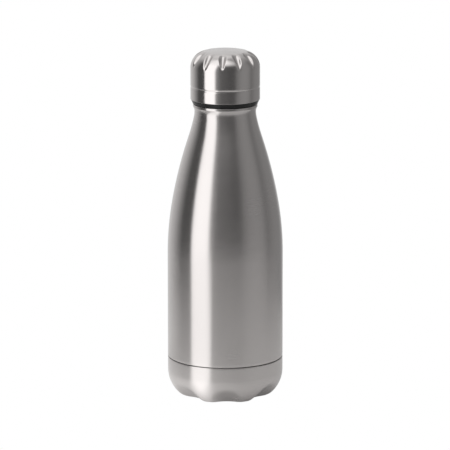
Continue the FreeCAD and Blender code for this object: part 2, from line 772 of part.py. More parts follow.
def check(pieces):
    """Stops if any object failed or any piece is not one or more valid solids."""
    for item in doc.Objects:
        if "Invalid" in item.State or "Error" in item.State:
            raise RuntimeError(f"{item.Label} is {item.State}")
    for piece in pieces:
        shape = piece.Shape
        if shape.isNull() or not shape.isValid() or not shape.Solids:
            raise RuntimeError(f"{piece.Label} has no valid solid")
        print(f"{piece.Label:18} {len(shape.Solids)} solid {shape.Volume:10.1f} mm3")


make_outer_shell()
make_base_cup()
make_inner_liner()
make_liner_bottom()
make_vacuum_base()
make_getter()
make_cap_shell()
make_cap_insert()
make_threaded_plug()
make_plug_floor()
make_seal_ring()
make_plain_rings()
doc.recompute()

NODES = (
    "outer_shell", "base_cup", "inner_liner", "liner_bottom", "liner_foil", "vacuum_base",
    "vacuum_seal_bead", "getter_tray", "getter_pellet", "base_glue_ring", "seal_ring",
    "cap_shell", "cap_insert", "cap_glue_ring", "threaded_plug", "plug_floor", "plug_foam",
)
pieces = [doc.getObject(label) for label in NODES]
check(pieces)
os.makedirs("parts", exist_ok=True)
for piece in pieces:
    piece.Shape.exportStep(f"parts/{piece.Label}.step")
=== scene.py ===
"""Looks for the insulated bottle: brushed steel shells, black plug and silicone seal, in a white studio."""
import json
import math

import bpy
import numpy as np
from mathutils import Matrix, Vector


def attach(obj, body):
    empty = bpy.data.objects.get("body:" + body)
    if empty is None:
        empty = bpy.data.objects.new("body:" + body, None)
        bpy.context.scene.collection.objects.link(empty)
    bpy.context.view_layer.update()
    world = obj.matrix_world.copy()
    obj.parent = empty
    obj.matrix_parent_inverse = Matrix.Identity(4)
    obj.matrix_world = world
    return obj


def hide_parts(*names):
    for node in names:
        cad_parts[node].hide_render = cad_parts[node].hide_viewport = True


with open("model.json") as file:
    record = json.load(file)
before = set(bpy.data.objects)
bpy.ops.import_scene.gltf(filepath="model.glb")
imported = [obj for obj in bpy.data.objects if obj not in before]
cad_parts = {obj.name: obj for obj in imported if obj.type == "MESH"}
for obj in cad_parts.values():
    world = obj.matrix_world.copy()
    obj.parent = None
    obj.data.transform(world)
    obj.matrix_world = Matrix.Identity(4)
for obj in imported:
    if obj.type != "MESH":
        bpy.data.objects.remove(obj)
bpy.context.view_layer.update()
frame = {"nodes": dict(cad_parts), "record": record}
MM = 0.001

# ---------------------------------------------------------------- sizes, in millimetres
SHEET = 0.5
BODY_RADIUS = 35.0
SEAM_HEIGHT = 24.4
SEAM_GAP = 0.5
SHOULDER_START = 88.0
SHOULDER_MIDDLE = 119.7
SHOULDER_END = 155.9
SHOULDER_LOW_RADIUS = 190.0
SHOULDER_HIGH_RADIUS = 270.0
FLANK_END = 163.0
FLANK_BEND_RADIUS = 90.0
FLANK_BEND_END = 172.8
NECK_HEIGHT = 175.75
LIP_RADIUS = 19.5
LIP_FACE_BOTTOM = 178.95
LIP_TOP = 180.4
LIP_ROUNDING = 0.3
# The outer shell's inner side stops this far below the top of the lip
LIP_INNER_DROP = 0.4
EDGE_ROUNDING = 0.22
BASE_CURVE_TOP = 16.0
BASE_SIDE_RADIUS = 18.5
BASE_CORNER_RADIUS = 10.0
BASE_FOOT_INNER_RADIUS = 20.5
BASE_DOME = 2.6
CAP_RADIUS = 21.0
CAP_SHEET = 0.4
CAP_BOTTOM = 183.4
CAP_TOP = 212.85
CAP_CORNER_RADIUS = 10.0
CAP_CROWN_RADIUS = 160.0
CAP_EDGE_ROUNDING = 0.1
GROOVE_HEIGHT = 190.9
GROOVE_DEPTH = 0.18
GROOVE_HALF_WIDTH = 0.7
VALLEY_COUNT = 7
VALLEY_PHASE = 14.7
VALLEY_FOOT = (22.66, 1.0)
VALLEY_TILT = 39.8
VALLEY_TOOL_RADIUS = 19.6
VALLEY_BLEND = 1.2
FLUTE_COUNT = 12
FLUTE_PHASE = -5.5
FLUTE_START_RADIUS = 12.6
FLUTE_TILT = 45.5
FLUTE_REACH = 15.0
FLUTE_HALF_ANGLE = 11.5
FLUTE_BLEND = 0.8

# ---------------------------------------------------------------- mesh detail
BODY_SEGMENTS = 256
SEGMENTS_PER_VALLEY = 56
SEGMENTS_PER_FLUTE = 34
STAGE_SEGMENTS = 96
# Steps round the small rounding at a sheet's edge
EDGE_STEPS = 4
# The cap's mesh rows are closer together above this height
CAP_FINE_START = 201.5
# Edges that turn by more than this many degrees are shaded sharp
SHARP_ANGLE = 35.0
PRESSED_SHARP_ANGLE = 60.0
# Distances in millimetres below which points meet, lie on the axis or haven't been pressed
MEETING_GAP = 1e-4
AXIS_GAP = 1e-6
LEAST_PRESS = 1e-4
# The deepest that a tool presses a sheet, in millimetres
DEEPEST_PRESS = 8.0
# How often the search for a pressed depth halves its range
PRESS_HALVINGS = 26


# ---------------------------------------------------------------- outlines
def arc(centre, radius, start, end, steps):
    """Points on a circle in the (radius, height) plane; the angles are in radians."""
    angles = np.linspace(start, end, steps + 1)
    return np.stack([centre[0] + radius * np.cos(angles), centre[1] + radius * np.sin(angles)], 1)


def line(start, end, steps):
    """Evenly spaced points from start to end."""
    return np.linspace(start, end, steps + 1)


def joined(*runs):
    """One outline from several runs, with each meeting point kept once."""
    points = [runs[0]]
    for run in runs[1:]:
        near = np.linalg.norm(points[-1][-1] - run[0]) < MEETING_GAP
        points.append(run[1:] if near else run)
    return np.concatenate(points)


def outline_normals(points):
    """Unit normals on the right of an open outline."""
    along = np.gradient(points, axis=0)
    along /= np.linalg.norm(along, axis=1)[:, None]
    return np.stack([along[:, 1], -along[:, 0]], 1)


# ---------------------------------------------------------------- meshes
def linked(name, corners, faces):
    """A mesh object in the scene, from corners in metres."""
    mesh = bpy.data.meshes.new(name)
    mesh.from_pydata(corners, [], faces)
    item = bpy.data.objects.new(name, mesh)
    bpy.context.scene.collection.objects.link(item)
    return item


def lathe(name, loop, segments, carve=None, sharp_angle=SHARP_ANGLE):
    """A smooth-shaded piece: a closed loop in the (radius, height) plane, in millimetres, turned about Z.

    carve takes radii, heights and azimuths as grids and gives back new radii and heights.
    """
    turn = np.linspace(0, 2 * math.pi, segments, endpoint=False)
    radii = np.repeat(loop[:, :1], segments, axis=1)
    heights = np.repeat(loop[:, 1:], segments, axis=1)
    azimuths = np.repeat(turn[None, :], len(loop), axis=0)
    if carve is not None:
        radii, heights = carve(radii, heights, azimuths)
    grid = np.stack([radii * np.cos(azimuths), radii * np.sin(azimuths), heights], 2)
    on_axis = loop[:, 0] < AXIS_GAP
    corners = []
    index = np.zeros(grid.shape[:2], int)
    for row in range(len(loop)):
        if on_axis[row]:
            index[row] = len(corners)
            corners.append(grid[row, 0])
        else:
            index[row] = np.arange(segments) + len(corners)
            corners.extend(grid[row])
    faces = []
    for row in range(len(loop)):
        after = (row + 1) % len(loop)
        if on_axis[row] and on_axis[after]:
            continue
        low, high = index[row], index[after]
        for k in range(segments):
            m = (k + 1) % segments
            if on_axis[row]:
                faces.append((int(low[k]), int(high[m]), int(high[k])))
            elif on_axis[after]:
                faces.append((int(low[k]), int(low[m]), int(high[k])))
            else:
                faces.append((int(low[k]), int(low[m]), int(high[m]), int(high[k])))
    piece = linked(name, (np.array(corners) * MM).tolist(), faces)
    piece.data.validate()
    piece.data.shade_smooth()
    piece.data.set_sharp_from_angle(angle=math.radians(sharp_angle))
    return piece


def smooth_max(a, b, blend):
    """The larger of a and b, with the corner between them rounded."""
    share = np.clip(0.5 + 0.5 * (a - b) / blend, 0, 1)
    return b * (1 - share) + a * share + blend * share * (1 - share)


def press(tool, radii, heights, azimuths, normals, blend):
    """Moves points inward along their normals until they are clear of the tool."""
    low = np.zeros_like(radii)
    high = np.full_like(radii, DEEPEST_PRESS)
    for _ in range(PRESS_HALVINGS):
        depth = (low + high) / 2
        r = radii - normals[0] * depth
        z = heights - normals[1] * depth
        held = smooth_max(-depth, tool(r, z, azimuths), blend) > 0
        low = np.where(held, depth, low)
        high = np.where(held, high, depth)
    depth = np.where(high < LEAST_PRESS, 0.0, high)
    return radii - normals[0] * depth, heights - normals[1] * depth


def pressed_sheet(tool, normals, inner_count, blend):
    """A carve that presses a loop's outer rows and moves its inner rows along with them.

    The inner rows follow the outer ones in the loop, in the opposite order.
    """
    def carve(radii, heights, azimuths):
        half = len(normals)
        grids = [np.repeat(normals[:, i:i + 1], radii.shape[1], axis=1) for i in (0, 1)]
        outer = press(tool, radii[:half], heights[:half], azimuths[:half], grids, blend)
        shift_r = (outer[0] - radii[:half])[::-1][:inner_count]
        shift_z = (outer[1] - heights[:half])[::-1][:inner_count]
        new_r = np.concatenate([outer[0], radii[half:] + shift_r])
        new_z = np.concatenate([outer[1], heights[half:] + shift_z])
        return new_r, new_z

    return carve


def nearest_repeat(radii, azimuths, count, phase):
    """Each point's reach along and across the nearest of evenly spaced planes through the axis."""
    pitch = 2 * math.pi / count
    away = azimuths - math.radians(phase)
    away = away - np.round(away / pitch) * pitch
    return radii * np.cos(away), radii * np.sin(away)


def valley_tool(radii, heights, azimuths):
    """How deep each point is inside the nearest round valley of the base."""
    tilt = math.radians(VALLEY_TILT)
    along, across = nearest_repeat(radii, azimuths, VALLEY_COUNT, VALLEY_PHASE)
    out = along - VALLEY_FOOT[0] - VALLEY_TOOL_RADIUS * math.sin(tilt)
    up = heights - VALLEY_FOOT[1] + VALLEY_TOOL_RADIUS * math.cos(tilt)
    return VALLEY_TOOL_RADIUS - np.hypot(up * math.cos(tilt) - out * math.sin(tilt), across)


def flute_tool(radii, heights, azimuths):
    """How deep each point is inside the nearest tapered flute of the cap."""
    tilt = math.radians(FLUTE_TILT)
    half = math.radians(FLUTE_HALF_ANGLE)
    along, across = nearest_repeat(radii, azimuths, FLUTE_COUNT, FLUTE_PHASE)
    out = along - FLUTE_START_RADIUS - FLUTE_REACH * math.cos(tilt)
    up = heights - CAP_TOP + FLUTE_REACH * math.sin(tilt)
    lean = tilt + half
    back = up * math.sin(lean) - out * math.cos(lean)
    aside = np.hypot(up * math.cos(lean) + out * math.sin(lean), across)
    return back * math.sin(half) - aside * math.cos(half)


def shoulder_outline():
    """The outer line of the outer shell, from the seam up over the lip."""
    low_sine = (SHOULDER_MIDDLE - SHOULDER_START) / SHOULDER_LOW_RADIUS
    high_sine = low_sine + (SHOULDER_END - SHOULDER_MIDDLE) / SHOULDER_HIGH_RADIUS
    bend_sine = high_sine - (FLANK_BEND_END - FLANK_END) / FLANK_BEND_RADIUS
    low, high, bend = map(math.asin, (low_sine, high_sine, bend_sine))
    low_centre = (BODY_RADIUS - SHOULDER_LOW_RADIUS, SHOULDER_START)
    low_run = arc(low_centre, SHOULDER_LOW_RADIUS, 0, low, steps=26)
    high_centre = (
        low_run[-1][0] - SHOULDER_HIGH_RADIUS * math.cos(low),
        low_run[-1][1] - SHOULDER_HIGH_RADIUS * math.sin(low),
    )
    high_run = arc(high_centre, SHOULDER_HIGH_RADIUS, low, high, steps=26)
    climb = FLANK_END - high_run[-1][1]
    flank_end = high_run[-1] + np.array([-climb * math.tan(high), climb])
    flank_run = line(high_run[-1], flank_end, steps=4)
    bend_centre = (
        flank_end[0] + FLANK_BEND_RADIUS * math.cos(high),
        flank_end[1] + FLANK_BEND_RADIUS * math.sin(high),
    )
    bend_run = arc(bend_centre, FLANK_BEND_RADIUS, math.pi + high, math.pi + bend, steps=10)
    throat_radius = (NECK_HEIGHT - bend_run[-1][1]) / bend_sine
    throat_centre = (bend_run[-1][0] + throat_radius * math.cos(bend), NECK_HEIGHT)
    throat_run = arc(throat_centre, throat_radius, math.pi + bend, math.pi, steps=8)
    neck = throat_run[-1]
    out = LIP_RADIUS - neck[0]
    up = LIP_FACE_BOTTOM - NECK_HEIGHT
    flare_radius = (out ** 2 + up ** 2) / (2 * out)
    flare_run = arc((neck[0] + flare_radius, NECK_HEIGHT), flare_radius, math.pi,
                    math.pi - math.asin(up / flare_radius), steps=8)
    lip_centre = (LIP_RADIUS - LIP_ROUNDING, LIP_TOP - LIP_ROUNDING)
    lip_corner = arc(lip_centre, LIP_ROUNDING, 0, math.pi / 2, steps=5)
    lip_run = joined(line((LIP_RADIUS, LIP_FACE_BOTTOM), lip_corner[0], steps=4), lip_corner)
    wall_foot = SEAM_HEIGHT + SEAM_GAP / 2 + EDGE_ROUNDING
    wall_run = line((BODY_RADIUS, wall_foot), (BODY_RADIUS, SHOULDER_START), steps=40)
    foot_run = arc((BODY_RADIUS - EDGE_ROUNDING, wall_foot), EDGE_ROUNDING, -math.pi / 2, 0, EDGE_STEPS)
    return joined(foot_run, wall_run, low_run, high_run, flank_run, bend_run, throat_run, flare_run, lip_run)


def make_outer_shell():
    """The drawn outer wall with its lip."""
    outer = shoulder_outline()
    inner = outer[::-1] - np.array([SHEET, 0.0])
    top = np.array([(LIP_RADIUS - SHEET, LIP_TOP)])
    wall_foot = SEAM_HEIGHT + SEAM_GAP / 2 + EDGE_ROUNDING
    keep = (inner[:, 1] < LIP_TOP - LIP_INNER_DROP) & (inner[:, 1] > wall_foot)
    bottom = np.array([(BODY_RADIUS - SHEET, SEAM_HEIGHT + SEAM_GAP / 2)])
    loop = np.concatenate([outer, top, inner[keep], bottom])
    piece = lathe("steel_body", loop, BODY_SEGMENTS)
    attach(piece, "bottle")
    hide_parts("outer_shell")
    piece.data.materials.append(MATERIALS["brushed_steel"])


def base_outline():
    """The lobes' own line from the middle of the underside round to the rim."""
    side_centre = (BODY_RADIUS - BASE_SIDE_RADIUS, BASE_CURVE_TOP)
    drop = BASE_CURVE_TOP - BASE_CORNER_RADIUS
    reach = BASE_SIDE_RADIUS - BASE_CORNER_RADIUS
    corner_centre = (side_centre[0] + math.sqrt(reach ** 2 - drop ** 2), BASE_CORNER_RADIUS)
    turn = math.asin(drop / reach)
    foot = BASE_FOOT_INNER_RADIUS
    dome_radius = (foot ** 2 + BASE_DOME ** 2) / (2 * BASE_DOME) - BASE_CORNER_RADIUS
    dome_angle = math.asin(foot / (dome_radius + BASE_CORNER_RADIUS))
    down = -math.pi / 2
    dome_run = arc((0, BASE_DOME - dome_radius), dome_radius, math.pi / 2, math.pi / 2 - dome_angle, steps=14)
    inner_run = arc((foot, BASE_CORNER_RADIUS), BASE_CORNER_RADIUS, down - dome_angle, down, steps=6)
    foot_run = line((foot, 0), (corner_centre[0], 0), steps=4)
    corner_run = arc(corner_centre, BASE_CORNER_RADIUS, down, -turn, steps=22)
    side_run = arc(side_centre, BASE_SIDE_RADIUS, -turn, 0, steps=26)
    rim = SEAM_HEIGHT - SEAM_GAP / 2
    wall_run = line((BODY_RADIUS, BASE_CURVE_TOP), (BODY_RADIUS, rim - EDGE_ROUNDING), steps=8)
    edge_centre = (BODY_RADIUS - EDGE_ROUNDING, rim - EDGE_ROUNDING)
    edge_run = arc(edge_centre, EDGE_ROUNDING, 0, math.pi / 2, EDGE_STEPS)
    outline = joined(dome_run, inner_run, foot_run, corner_run, side_run, wall_run, edge_run)
    outline[0, 0] = 0.0
    return outline


def make_base_cup():
    """The petal cup: valleys pressed into a turned cup."""
    outline = base_outline()
    normals = outline_normals(outline)
    inner = (outline - normals * SHEET)[::-1]
    inner[-1, 0] = 0.0
    loop = np.concatenate([outline, inner])
    carve = pressed_sheet(valley_tool, normals, len(inner), VALLEY_BLEND)
    piece = lathe("petal_base", loop, VALLEY_COUNT * SEGMENTS_PER_VALLEY, carve, PRESSED_SHARP_ANGLE)
    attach(piece, "bottle")
    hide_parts("base_cup")
    piece.data.materials.append(MATERIALS["brushed_steel"])


def cap_outline():
    """The cap's outer line from its lower edge up to the middle of the crown."""
    corner_x = CAP_RADIUS - CAP_CORNER_RADIUS
    rise = math.sqrt((CAP_CROWN_RADIUS - CAP_CORNER_RADIUS) ** 2 - corner_x ** 2)
    crown_z = CAP_TOP - CAP_CROWN_RADIUS
    corner_centre = (corner_x, crown_z + rise)
    tilt = math.atan2(corner_x, rise)
    groove_radius = (GROOVE_HALF_WIDTH ** 2 + GROOVE_DEPTH ** 2) / (2 * GROOVE_DEPTH)
    groove_angle = math.asin(GROOVE_HALF_WIDTH / groove_radius)
    groove_centre = (CAP_RADIUS - GROOVE_DEPTH + groove_radius, GROOVE_HEIGHT)
    edge = CAP_EDGE_ROUNDING
    foot_run = arc((CAP_RADIUS - edge, CAP_BOTTOM + edge), edge, -math.pi / 2, 0, EDGE_STEPS)
    groove_low = GROOVE_HEIGHT - GROOVE_HALF_WIDTH
    low_run = line((CAP_RADIUS, CAP_BOTTOM + edge), (CAP_RADIUS, groove_low), steps=8)
    groove_run = arc(groove_centre, groove_radius, math.pi + groove_angle, math.pi - groove_angle, steps=10)
    groove_high = GROOVE_HEIGHT + GROOVE_HALF_WIDTH
    wall_run = line((CAP_RADIUS, groove_high), (CAP_RADIUS, CAP_FINE_START), steps=8)
    high_run = line((CAP_RADIUS, CAP_FINE_START), (CAP_RADIUS, corner_centre[1]), steps=8)
    corner_run = arc(corner_centre, CAP_CORNER_RADIUS, 0, math.pi / 2 - tilt, steps=44)
    crown_run = arc((0, crown_z), CAP_CROWN_RADIUS, math.pi / 2 - tilt, math.pi / 2, steps=14)
    outline = joined(foot_run, low_run, groove_run, wall_run, high_run, corner_run, crown_run)
    outline[-1, 0] = 0.0
    return outline


def make_cap_shell():
    """The fluted steel cap."""
    outline = cap_outline()
    normals = outline_normals(outline)
    inner = (outline - normals * CAP_SHEET)[::-1]
    inner[0, 0] = 0.0
    # The inner side starts above the rounding of the lower edge
    inner = inner[:-EDGE_STEPS]
    loop = np.concatenate([outline, inner])
    carve = pressed_sheet(flute_tool, normals, len(inner), FLUTE_BLEND)
    piece = lathe("fluted_cap", loop, FLUTE_COUNT * SEGMENTS_PER_FLUTE, carve, PRESSED_SHARP_ANGLE)
    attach(piece, "cap")
    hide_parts("cap_shell")
    piece.data.materials.append(MATERIALS["cap_steel"])


# ---------------------------------------------------------------- shader nodes
def feed(tree, socket, given):
    """Links a socket to another node's output, or sets it to a number or a colour."""
    if isinstance(given, bpy.types.NodeSocket):
        tree.links.new(given, socket)
    else:
        socket.default_value = given


def combined(tree, operation, first, second):
    """The outcome of one sum on two values."""
    node = tree.nodes.new("ShaderNodeMath")
    node.operation = operation
    feed(tree, node.inputs[0], first)
    feed(tree, node.inputs[1], second)
    return node.outputs["Value"]


def on_vector(tree, operation, vector, second=None):
    """One vector sum; its outputs are Vector and Value."""
    node = tree.nodes.new("ShaderNodeVectorMath")
    node.operation = operation
    tree.links.new(vector, node.inputs[0])
    if second is not None:
        node.inputs[1].default_value = second
    return node.outputs


def projected(tree, position, direction):
    """How far a position lies along a direction."""
    return on_vector(tree, "DOT_PRODUCT", position, direction)["Value"]


def faded(tree, value, start, end, low=0.0, high=1.0, kind="SMOOTHSTEP"):
    """A change from low to high as the value goes from start to end."""
    node = tree.nodes.new("ShaderNodeMapRange")
    node.interpolation_type = kind
    node.inputs["From Min"].default_value = start
    node.inputs["From Max"].default_value = end
    node.inputs["To Min"].default_value = low
    node.inputs["To Max"].default_value = high
    tree.links.new(value, node.inputs["Value"])
    return node.outputs["Result"]


def blended(tree, share, first, second):
    """One colour changing to another as the share goes from nought to one."""
    node = tree.nodes.new("ShaderNodeMix")
    node.data_type = "RGBA"
    feed(tree, node.inputs["Factor"], share)
    feed(tree, node.inputs["A"], first)
    feed(tree, node.inputs["B"], second)
    return node.outputs["Result"]


def colour_ramp(tree, value, stops):
    """A colour by a value from nought to one, from pairs of value and colour."""
    node = tree.nodes.new("ShaderNodeValToRGB")
    while len(node.color_ramp.elements) < len(stops):
        node.color_ramp.elements.new(0.5)
    for element, (place, colour) in zip(node.color_ramp.elements, stops):
        element.position = place
        element.color = colour
    tree.links.new(value, node.inputs["Fac"])
    return node.outputs["Color"]


def grey(level):
    """A grey colour of one level."""
    return (level, level, level, 1.0)


def level_ramp(tree, value, levels, low=0.0):
    """A grey level by a value in metres, counted from low."""
    counted = combined(tree, "SUBTRACT", value, low)
    return colour_ramp(tree, counted, [(place - low, grey(level)) for place, level in levels])


def add_bump(tree, shader, height, strength, distance):
    """Makes the shader's surface uneven by a height value; the distance is in metres."""
    node = tree.nodes.new("ShaderNodeBump")
    node.inputs["Strength"].default_value = strength
    node.inputs["Distance"].default_value = distance
    tree.links.new(height, node.inputs["Height"])
    tree.links.new(node.outputs["Normal"], shader.inputs["Normal"])


# ---------------------------------------------------------------- materials
# Noise cells per metre along and across the brushing, and how much finer noise is added to it
BRUSH_ALONG = 60.0
BRUSH_ACROSS = 9000.0
BRUSH_DETAIL = 3.0
BRUSH_NOISE_ROUGHNESS = 0.6
# Full turns from the direction round the axis to the one that the shader takes as the grain
BRUSH_ROTATION = 0.25
# The part of the brushing's noise over which roughness and tint change, and the darkest tint
BRUSH_RANGE = (0.3, 0.7)
BRUSH_TINT = 0.97
BRUSH_BUMP = (0.03, 0.00002)
# Handling marks: noise cells per metre, the part of the noise that shows, the added roughness
SMUDGE_SCALE = 45.0
SMUDGE_RANGE = (0.45, 0.75)
SMUDGE_ROUGHNESS = 0.02
# Rubbed edges: how pointed the surface is there, and the patches that they are broken into
WEAR_POINTINESS = (0.53, 0.62)
WEAR_SCALE = 400.0
WEAR_RANGE = (0.35, 0.65)
WEAR_ROUGHNESS = 0.05
WEAR_BRIGHTNESS = 1.15
PLASTIC_SPECULAR = 0.2
# Uneven gloss of plastic: noise cells per metre, and shares of the roughness and of the colour
HAZE_SCALE = 900.0
HAZE_DETAIL = 4.0
HAZE_ROUGHNESS = (0.8, 1.25)
HAZE_TINT = (0.85, 1.15)
HAZE_BUMP = (0.15, 0.00003)


def new_material(name):
    """An empty node material and its Principled shader."""
    material = bpy.data.materials.new(name)
    material.use_nodes = True
    shader = material.node_tree.nodes["Principled BSDF"]
    return material, shader


def tinted(colour, brightness=1.0):
    """A colour made brighter or darker, with full opacity."""
    return tuple(min(c * brightness, 1.0) for c in colour) + (1.0,)


def blobs(tree, position, scale, detail=3.0):
    """Soft noise about a half, with features about one over the scale in metres across."""
    noise = tree.nodes.new("ShaderNodeTexNoise")
    noise.inputs["Scale"].default_value = scale
    noise.inputs["Detail"].default_value = detail
    tree.links.new(position, noise.inputs["Vector"])
    return noise.outputs["Fac"]


def brushing(tree, position):
    """Noise drawn out into fine lines round the Z axis, on walls and on level faces alike."""
    stretch = tree.nodes.new("ShaderNodeMapping")
    stretch.inputs["Scale"].default_value = (BRUSH_ALONG, BRUSH_ALONG, BRUSH_ACROSS)
    tree.links.new(position, stretch.inputs["Vector"])
    level = on_vector(tree, "MULTIPLY", position, (1.0, 1.0, 0.0))["Vector"]
    reach = on_vector(tree, "LENGTH", level)["Value"]
    grain = tree.nodes.new("ShaderNodeTexNoise")
    grain.noise_dimensions = "4D"
    grain.inputs["Scale"].default_value = 1.0
    grain.inputs["Detail"].default_value = BRUSH_DETAIL
    grain.inputs["Roughness"].default_value = BRUSH_NOISE_ROUGHNESS
    tree.links.new(stretch.outputs["Vector"], grain.inputs["Vector"])
    tree.links.new(combined(tree, "MULTIPLY", reach, BRUSH_ACROSS), grain.inputs["W"])
    return grain.outputs["Fac"]


def steel(name, colour, roughness, anisotropy, streaks):
    """Steel brushed round the Z axis, with faint handling marks and edges rubbed brighter."""
    material, shader = new_material(name)
    tree = material.node_tree
    shader.inputs["Metallic"].default_value = 1.0
    shader.inputs["Anisotropic"].default_value = anisotropy
    shader.inputs["Anisotropic Rotation"].default_value = BRUSH_ROTATION
    tangent = tree.nodes.new("ShaderNodeTangent")
    tangent.direction_type = "RADIAL"
    tangent.axis = "Z"
    tree.links.new(tangent.outputs["Tangent"], shader.inputs["Tangent"])
    position = tree.nodes.new("ShaderNodeTexCoord").outputs["Object"]
    grain = brushing(tree, position)
    smudge = faded(tree, blobs(tree, position, SMUDGE_SCALE), *SMUDGE_RANGE)
    pointiness = tree.nodes.new("ShaderNodeNewGeometry").outputs["Pointiness"]
    patches = faded(tree, blobs(tree, position, WEAR_SCALE), *WEAR_RANGE)
    worn = combined(tree, "MULTIPLY", faded(tree, pointiness, *WEAR_POINTINESS), patches)
    rough = faded(tree, grain, *BRUSH_RANGE, roughness - streaks, roughness + streaks)
    rough = combined(tree, "ADD", rough, combined(tree, "MULTIPLY", smudge, SMUDGE_ROUGHNESS))
    rough = combined(tree, "ADD", rough, combined(tree, "MULTIPLY", worn, WEAR_ROUGHNESS))
    tree.links.new(rough, shader.inputs["Roughness"])
    stops = list(zip(BRUSH_RANGE, (tinted(colour, BRUSH_TINT), tinted(colour))))
    tint = blended(tree, worn, colour_ramp(tree, grain, stops), tinted(colour, WEAR_BRIGHTNESS))
    tree.links.new(tint, shader.inputs["Base Color"])
    add_bump(tree, shader, grain, *BRUSH_BUMP)
    return material


def plastic(name, colour, roughness):
    """Moulded plastic with a faint uneven gloss."""
    material, shader = new_material(name)
    tree = material.node_tree
    shader.inputs["Specular IOR Level"].default_value = PLASTIC_SPECULAR
    position = tree.nodes.new("ShaderNodeTexCoord").outputs["Object"]
    haze = blobs(tree, position, HAZE_SCALE, HAZE_DETAIL)
    shiny, dull = (roughness * share for share in HAZE_ROUGHNESS)
    rough = faded(tree, haze, 0.0, 1.0, shiny, dull, "LINEAR")
    tree.links.new(rough, shader.inputs["Roughness"])
    stops = list(zip((0.0, 1.0), (tinted(colour, share) for share in HAZE_TINT)))
    tree.links.new(colour_ramp(tree, haze, stops), shader.inputs["Base Color"])
    add_bump(tree, shader, haze, *HAZE_BUMP)
    return material


# Steel: colour, roughness, anisotropy and how far streaks change the roughness
# Plastic: colour and roughness
MATERIALS = {
    "brushed_steel": steel("brushed_steel", (0.63, 0.60, 0.59), 0.24, 0.85, 0.025),
    "cap_steel": steel("cap_steel", (0.65, 0.62, 0.61), 0.17, 0.7, 0.02),
    "satin_steel": steel("satin_steel", (0.58, 0.57, 0.56), 0.3, 0.5, 0.05),
    "foil": steel("foil", (0.8, 0.5, 0.36), 0.15, 0.0, 0.05),
    "black_plastic": plastic("black_plastic", (0.012, 0.012, 0.012), 0.25),
    "silicone": plastic("silicone", (0.6, 0.6, 0.58), 0.5),
    "glue": plastic("glue", (0.18, 0.18, 0.18), 0.6),
    "solder_glass": plastic("solder_glass", (0.05, 0.05, 0.055), 0.2),
    "getter_powder": plastic("getter_powder", (0.08, 0.075, 0.07), 0.9),
    "foam": plastic("foam", (0.75, 0.73, 0.68), 0.9),
}


def dress_cad_nodes():
    """Gives every CAD node that stays in the scene its own material."""
    for part in frame["record"]["subparts"]:
        node = frame["nodes"][part["node"]]
        node.data.materials.clear()
        node.data.materials.append(MATERIALS[part["material_slot"]])


# ---------------------------------------------------------------- studio
# Light levels of the surround by azimuth in degrees from the front, left negative
PANELS = (
    (-180.0, 0.74),
    (-152.0, 0.72),
    (-128.0, 0.55),
    (-108.0, 0.24),
    (-98.0, 0.09),
    (-74.0, 0.08),
    (-69.0, 1.6),
    (-36.2, 1.6),
    (-29.7, 0.36),
    (-20.0, 0.19),
    (-12.0, 0.14),
    (5.0, 0.115),
    (20.0, 0.095),
    (31.0, 0.115),
    (42.0, 0.23),
    (54.0, 0.30),
    (68.0, 0.32),
    (82.0, 0.30),
    (97.0, 0.21),
    (118.0, 0.28),
    (150.0, 0.29),
    (166.0, 0.6),
    (180.0, 0.74),
)
# The same for the ceiling
CEILING = (
    (-180.0, 0.95),
    (-110.0, 0.72),
    (-70.0, 1.3),
    (0.0, 1.45),
    (25.0, 1.15),
    (60.0, 0.42),
    (120.0, 0.42),
    (180.0, 0.95),
)
# How many degrees the panels lean to the right from the floor to straight up
PANEL_SLANT = 4.0
# The panels change to the ceiling between these heights of a direction, where straight up is one
CEILING_RANGE = (0.53, 0.86)
SURROUND_RADIUS = 6.0
SURROUND_HEIGHT = 6.0
FLOOR_LEVEL = -0.0004
TABLE_LEVEL = -0.0002
TABLE_RADIUS = 0.32
TABLE_MIDDLE = -0.10
PAPER_COLOUR = (0.5, 0.5, 0.495)
PAPER_ROUGHNESS = 0.9
# A painted pool of light, the light strip's foot on the table, lies between two lines: a point on each in
# metres and the azimuth that it runs out at
STRIP_EDGES = (
    ((-0.0214, -0.0277), -71.5),
    ((-0.0135, -0.0324), -27.0),
)
STRIP_GLOW = 0.82
STRIP_SOFTNESS = 0.009
# Painted light of the table's own by distance from the bottle's axis in metres; the low levels near the axis
# are a painted contact shadow under the bottle
TABLE_GLOW = (
    (0.000, 0.02),
    (0.027, 0.10),
    (0.042, 0.25),
    (0.080, 0.23),
    (0.220, 0.19),
    (0.400, 0.14),
)
# More light close to the bottle, from left to right in metres
NEAR_GLOW = (
    (-0.045, 0.29),
    (-0.020, 0.25),
    (-0.006, 0.13),
    (0.010, 0.08),
    (0.030, 0.03),
)
# It fades out between these distances from the axis
NEAR_REACH = (0.06, 0.12)
# More light behind the bottle: towards where, over which distances, how much, and its right edge
BEHIND_DIRECTION = (-0.3, 0.954, 0.0)
BEHIND_REACH = (0.04, 0.15)
BEHIND_GLOW = 0.2
BEHIND_EDGE = (0.0, -0.04)
# The camera: sensor and lens in millimetres, elevation in degrees, and the rest in metres
SENSOR_WIDTH = 36.0
LENS_LENGTH = 316.8
CAMERA_TARGET = (-0.00015, 0.0, 0.10527)
CAMERA_ELEVATION = 12.46
CAMERA_DISTANCE = 2.404
CAMERA_REACH = 50.0


